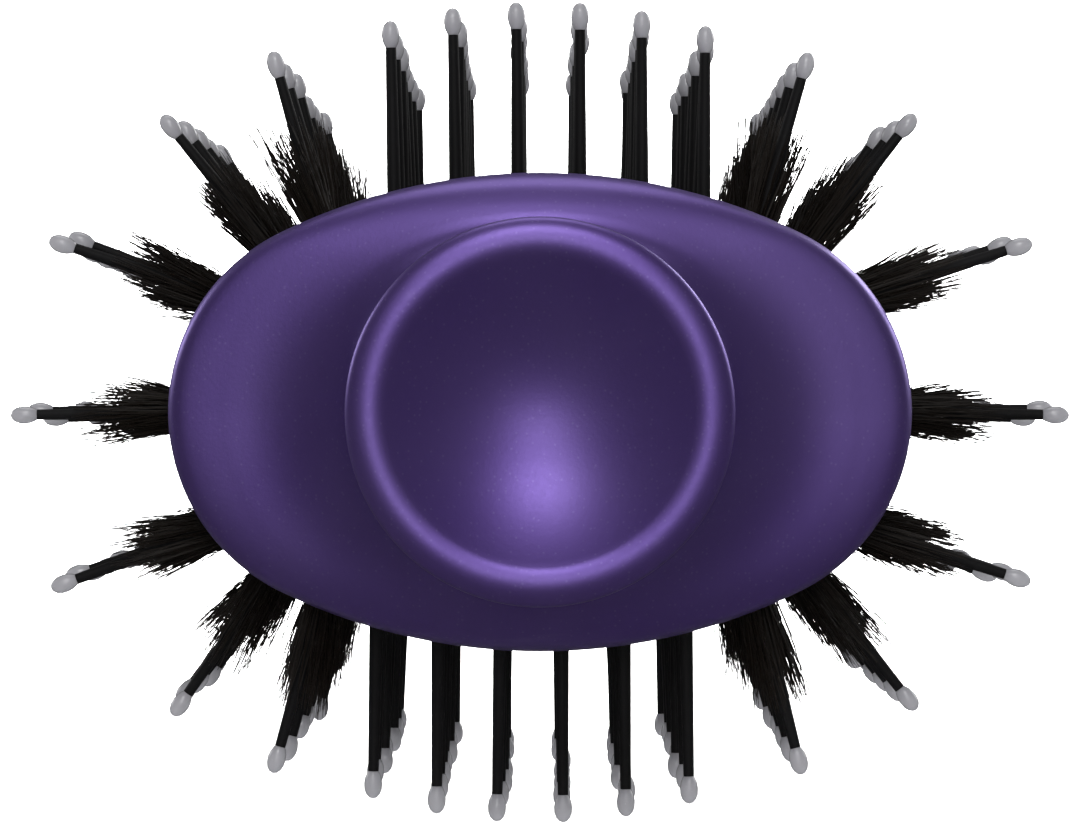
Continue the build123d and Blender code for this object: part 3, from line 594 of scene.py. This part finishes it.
def barTemplate(foot, angle, back0, back1):
    bm = bmesh.new()
    a = math.radians(angle)
    out = Vector((math.cos(a), 0, math.sin(a)))
    side = Vector((-math.sin(a), 0, math.cos(a)))
    middle = brushPoint(*foot, (back0 + back1) / 2) - out * (strips["barDepth"] + strips["barThick"] / 2) * mm
    turn = Matrix((side, Vector((0, 1, 0)), out)).transposed().to_4x4()
    size = Matrix.Diagonal((strips["barWidth"] * mm, (back1 - back0) * mm, strips["barThick"] * mm, 1))
    bmesh.ops.create_cube(bm, size=1.0, matrix=Matrix.Translation(middle) @ turn @ size)
    bmesh.ops.bevel(bm, geom=bm.edges[:], offset=strips["barEase"] * mm, segments=2, profile=0.5,
                    affect="EDGES", material=-1)
    return bmToTemplate(bm, "barTemplate")


def makeStrips():
    rng = random.Random(7)
    plainPin = pinTemplate(-strips["barDepth"])
    tuftPin = pinTemplate(0.0)
    boss = bossTemplate()
    ball = ballTemplate()
    ballMeshes = {side: bmesh.new() for side in ("top", "bottom", "right", "left")}
    spots = []
    for node, foot, angle, kind in stripPlan():
        bm = bmesh.new()
        bm.from_mesh(barTemplate(foot, angle, *stationsOf(node)))
        lean = pins["sideLean"] if kind else pins["plainLean"]
        for back in pinStations(kind):
            place = pinFrame(foot, angle, back, rng.gauss(0, lean), rng.gauss(0, lean))
            stamp(bm, tuftPin if kind else plainPin, place)
            if kind:
                stamp(bm, boss, pinFrame(foot, angle, back))
                spots.append((foot, place))
            group = node.split("_")[2]
            lift = Matrix.Translation((0, 0, (strips["reach"] - balls["halfLength"]) * mm))
            stamp(ballMeshes[group], ball, place @ lift)
        words = node.split("_")
        name = words[0] + "".join(w.title() for w in words[1:])
        toPiece(bm, name, "brush_head", blackNylon, [node], merge=0)
    for group, bm in ballMeshes.items():
        toPiece(bm, "ballTips" + group.title(), "brush_head", greyBall, ["ball_tips_" + group],
                smooth=80, merge=0)
    return spots


def addBristle(bm, root, tip, bend, radius):
    # a thin bristle: a small ring drawn out twice
    aim = (tip - root).to_track_quat("Z", "Y").to_matrix().to_4x4()
    ring = bmesh.ops.create_circle(bm, segments=tufts["sides"], radius=radius,
                                   matrix=Matrix.Translation(root) @ aim)["verts"]
    edges = list({e for v in ring for e in v.link_edges})
    at = root
    for goal, thin in zip(((root + tip) / 2 + bend, tip), tufts["thinning"]):
        grown = bmesh.ops.extrude_edge_only(bm, edges=edges)["geom"]
        ring = [g for g in grown if isinstance(g, bmesh.types.BMVert)]
        edges = [g for g in grown if isinstance(g, bmesh.types.BMEdge) and all(v in ring for v in g.verts)]
        bmesh.ops.translate(bm, verts=ring, vec=goal - at)
        bmesh.ops.scale(bm, verts=ring, vec=(thin, thin, thin), space=Matrix.Translation(-goal))
        at = goal
    bmesh.ops.contextual_create(bm, geom=ring)


def tuftTemplate(rng):
    bm = bmesh.new()
    lean = Vector((rng.gauss(0, tufts["swept"]), rng.gauss(0, tufts["swept"]), 0))
    for k in range(tufts["count"]):
        turn = rng.random() * fullTurn
        share = math.sqrt(rng.uniform(tufts["innerShare"], 1.0))
        away = Vector((math.cos(turn), math.sin(turn), 0))
        short = tufts["ragged"] * rng.random() ** tufts["raggedPower"]
        high = tufts["height"] * (1 - short) - tufts["outerDrop"] * share
        spread = tufts["fan"] * (tufts["leastFan"] + share)
        if rng.random() < tufts["stray"]:
            spread *= tufts["strayFan"]
        root = away * share * tufts["rootR"] + Vector((0, 0, bosses["rise"] - tufts["sunk"]))
        wild = Vector((rng.gauss(0, tufts["wild"]), rng.gauss(0, tufts["wild"]), 0))
        tip = root + (away * spread + lean) * high + wild + Vector((0, 0, high))
        bend = Vector((rng.gauss(0, tufts["bend"]), rng.gauss(0, tufts["bend"]), 0))
        addBristle(bm, root * mm, tip * mm, bend * mm, tufts["hairR"] * mm)
    return bmToTemplate(bm, "tuftTemplate")


def makeTufts(spots):
    rng = random.Random(23)
    templates = [tuftTemplate(rng) for k in range(tufts["patterns"])]
    halves = {"right": bmesh.new(), "left": bmesh.new()}
    for foot, place in spots:
        turn = Matrix.Rotation(rng.random() * fullTurn, 4, "Z")
        stamp(halves["right" if foot[0] > 0 else "left"], rng.choice(templates), place @ turn)
    for side, bm in halves.items():
        toPiece(bm, "bristleTufts" + side.title(), "brush_head", bristleBlack,
                ["bristle_tufts_" + side], smooth=80, merge=0)


makeTufts(makeStrips())
print("pins, ball tips and bristles made")


# ---- collar
collar = {"neckR": 27.0, "rimOut": 1.0, "lapTo": 4.0, "segments": 192, "steps": 32, "bore": 21.7,
          "boreDepth": 18, "stepR": 19.0, "inset": 3.0, "ease": 0.4,
          # inset and station of the front lip's rings
          "frontLip": [(1.0, 3.0), (1.0, 0), (0.3, 0), (0.08, 0.1), (0, 0.35)]}


def makeCollar():
    start, end = stationsOf("head_collar")
    halfW, halfH = barrelHalfW + collar["rimOut"], barrelHalfH + collar["rimOut"]
    neck, bore, ease = collar["neckR"], collar["bore"], collar["ease"]
    rings = [(halfW - inset, halfH - inset, start + back) for inset, back in collar["frontLip"]]
    first = start + collar["lapTo"]
    rings.append((halfW, halfH, first))
    for k in range(1, collar["steps"] + 1):
        t = k / collar["steps"]
        blend = t * t * (3 - 2 * t)
        rings.append((halfW + (neck - halfW) * blend, halfH + (neck - halfH) * blend,
                      first + (end - ease - first) * t))
    inside = [(neck - 0.1, end - 0.1), (neck - ease, end), (bore + ease, end), (bore, end - ease),
              (bore, end - collar["boreDepth"]), (collar["stepR"], end - collar["boreDepth"]),
              (collar["stepR"], start + collar["inset"])]
    rings += [(radius, radius, back) for radius, back in inside]
    bm = bmesh.new()
    growTube(bm, rings, collar["segments"])
    toPiece(bm, "headCollar", "brush_head", satinPurple, ["head_collar"], smooth=50)


makeCollar()
print("collar made")


# ---- handle
handle = {"outline": [(0.0, 27.0), (0.14, 25.9), (0.32, 23.6), (0.52, 21.4), (0.74, 19.5), (0.92, 19.9),
                      (1.0, 20.6)],
          "wall": 1.2, "steps": 48, "segments": 96, "seam": 0.12, "seamR": 24, "tailRoom": 0.5,
          # radius and station of the rings at the front end and at the rear end
          "mouth": [(21.9, 3.0), (21.9, 0.3), (22.2, 0), (26.5, 0), (26.85, 0.12), (27.0, 0.4)],
          "rear": [(20.2, 0), (17.2, 0), (17.0, -0.3), (17.0, -3)],
          "holeHalfW": 6.25, "holeFrom": 159.75, "holeTo": 170.25}


def outlineRadius(share):
    # smooth curve through the outline's points (Catmull-Rom on the share)
    pts = handle["outline"]
    i = 0
    while share > pts[i + 1][0] and i < len(pts) - 2:
        i += 1
    p0, p1, p2, p3 = pts[max(i - 1, 0)], pts[i], pts[i + 1], pts[min(i + 2, len(pts) - 1)]
    width = p2[0] - p1[0]
    m1 = (p2[1] - p0[1]) / (p2[0] - p0[0]) * width
    m2 = (p3[1] - p1[1]) / (p3[0] - p1[0]) * width
    return hermite(p1[1], p2[1], m1, m2, (share - p1[0]) / width)


def spinProfile(bm, points, segments, angle=fullTurn, startAngle=0.0):
    # turns (radius, station) points about the brush's axis
    verts = []
    for r, back in points:
        verts.append(bm.verts.new(brushPoint(r * math.cos(startAngle), r * math.sin(startAngle), back)))
    edges = [bm.edges.new(pair) for pair in zip(verts, verts[1:])]
    bmesh.ops.spin(bm, geom=verts + edges, cent=(0, 0, axisZ), axis=(0, -1, 0), angle=angle, steps=segments,
                   use_merge=abs(angle - fullTurn) < 1e-6, use_normal_flip=False, use_duplicate=False)


def cutButtonHole(bm):
    # edges are drawn across the shell where the button stands, and the faces between them go
    half = handle["holeHalfW"] * mm
    low, high = station(handle["holeFrom"]), station(handle["holeTo"])
    across, along = Vector((1, 0, 0)), Vector((0, 1, 0))
    for spot, normal in ((-half, across), (half, across), (low, along), (high, along)):
        bmesh.ops.bisect_plane(bm, geom=bm.verts[:] + bm.edges[:] + bm.faces[:], dist=1e-7,
                               plane_co=normal * spot, plane_no=normal)
    inside = []
    for face in bm.faces:
        middle = face.calc_center_median()
        if abs(middle.x) < half and low < middle.y < high:
            inside.append(face)
    bmesh.ops.delete(bm, geom=inside, context="FACES")


def makeShell(node, name, upper):
    start, end = stationsOf("handle_shell_upper")
    profile = [(radius, start + back) for radius, back in handle["mouth"]]
    for k in range(1, handle["steps"] + 1):
        share = k / handle["steps"]
        profile.append((outlineRadius(share), start + (end - start - handle["tailRoom"]) * share))
    profile += [(radius, end + back) for radius, back in handle["rear"]]
    bm = bmesh.new()
    gap = handle["seam"] / handle["seamR"]
    spinProfile(bm, profile, handle["segments"] // 2, angle=math.pi - 2 * gap,
                startAngle=gap if upper else math.pi + gap)
    if upper:
        cutButtonHole(bm)
    piece = toPiece(bm, name, "handle", softBlack, [node], smooth=40)
    wall = piece.modifiers.new("shellWall", "SOLIDIFY")
    wall.thickness = handle["wall"] * mm
    wall.offset = -1


makeShell("handle_shell_upper", "handleShellUpper", True)
makeShell("handle_shell_lower", "handleShellLower", False)


# ---- dial, grille, end cap, gland
dial = {"radius": 22.4, "bore": 17.0, "flutes": 56, "fluteDepth": 0.55, "fluteEnd": 2.2,
        # inset and station of one side's rings, the same from both ends
        "side": [(0.9, 0), (0.25, 0.2), (0, 0.8), (0, 2.0), (0, 2.5)]}
dome = {"radius": 22.7, "drop": 6.0, "flatR": 10.0, "fullness": 0.72, "steps": 20, "lipIn": 2.0, "lipDeep": 2.3,
        "ease": 0.3, "holeR": 6.1, "segments": 128}
gland = {"flangeR": 8.0, "bodyR": 6.0, "bore": 3.6, "neckFromEnd": 9.7, "rings": 5, "ringPitch": 1.35,
         "firstRingR": 7.45, "taper": 0.38, "segments": 72}


def makeDial():
    start, end = stationsOf("mode_dial")
    bm = bmesh.new()
    r, bore = dial["radius"], dial["bore"]
    profile = [(bore, start)] + [(r - inset, start + back) for inset, back in dial["side"]]
    profile += [(r - inset, end - back) for inset, back in reversed(dial["side"])]
    profile += [(bore, end), (bore, start)]
    spinProfile(bm, profile, dial["flutes"] * 4)
    for v in bm.verts:
        back = (v.co.y - tipY) / mm
        flat = Vector((v.co.x, 0, v.co.z - axisZ))
        if flat.length > (r - 0.02) * mm and start + dial["fluteEnd"] < back < end - dial["fluteEnd"]:
            a = math.atan2(flat.z, flat.x)
            groove = max(0.0, math.cos(a * dial["flutes"])) * dial["fluteDepth"]
            flat = flat * (1 - groove / r)
            v.co = Vector((flat.x, v.co.y, flat.z + axisZ))
    toPiece(bm, "modeDial", "mode_dial", satinPurple, ["mode_dial"], smooth=45)


makeDial()
smoothCopy("inlet_grille", "inletGrille", "handle", softBlack, smooth=28)


def makeEndCap():
    start, end = stationsOf("end_cap")
    edge = end - dome["drop"]
    r, flat, ease, hole = dome["radius"], dome["flatR"], dome["ease"], dome["holeR"]
    lip = r - dome["lipIn"]
    profile = [(lip, edge - dome["lipDeep"]), (lip, edge), (r - ease, edge), (r, edge + ease)]
    for k in range(1, dome["steps"] + 1):
        a = math.radians(90 * k / dome["steps"])
        profile.append((flat + (r - flat) * math.cos(a) ** dome["fullness"],
                        edge + ease + (dome["drop"] - ease) * math.sin(a)))
    profile += [(hole + 0.5, end), (hole, end - 0.4), (hole, start + 0.2)]
    bm = bmesh.new()
    spinProfile(bm, profile, dome["segments"])
    toPiece(bm, "endCap", "handle", satinPurple, ["end_cap"], smooth=40)


makeEndCap()


def makeGland():
    start, end = stationsOf("cord_swivel")
    neck = end - gland["neckFromEnd"]
    flange, body, bore = gland["flangeR"], gland["bodyR"], gland["bore"]
    profile = [(bore, start), (flange - 0.1, start), (flange, start + 0.2), (flange, start + 2.2),
               (body, start + 2.2), (body, neck), (7.8, neck), (8.2, neck + 0.4), (8.2, neck + 1.9),
               (7.7, neck + 2.3)]
    for k in range(gland["rings"]):
        back = neck + 2.6 + k * gland["ringPitch"]
        r = gland["firstRingR"] - gland["taper"] * k
        profile += [(r, back), (r, back + 0.65), (r - 0.55, back + 0.75), (r - 0.55, back + 1.15)]
    profile += [(5.5, end - 0.3), (5.2, end), (bore + 0.3, end), (bore, end - 0.3), (bore, start)]
    bm = bmesh.new()
    spinProfile(bm, profile, gland["segments"])
    toPiece(bm, "cordSwivel", "cord_swivel", rubberBlack, ["cord_swivel"], smooth=35)


makeGland()
smoothCopy("release_button", "releaseButton", "release_button", satinPurple, smooth=35)
print("handle made")

# ---- what stays as the frame has it gets its own finish
kept = {"cap_screws": zincSteel, "front_strip_ring": innerNylon, "rear_strip_ring": innerNylon,
        "handle_screws": zincSteel, "neck_ring": innerNylon, "latch_clip": zincSteel, "heat_shield": zincSteel,
        "heater_frame": micaBoard, "heater_coil": zincSteel, "thermal_cutout": innerNylon,
        "motor_mount": innerNylon, "motor_can": zincSteel, "motor_shaft": zincSteel, "fan_impeller": innerNylon,
        "switch_board": boardGreen, "tail_sleeve": innerNylon, "lint_filter": filterMesh}
for node, mat in kept.items():
    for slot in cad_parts[node].material_slots:
        slot.material = mat
print("kept nodes finished")
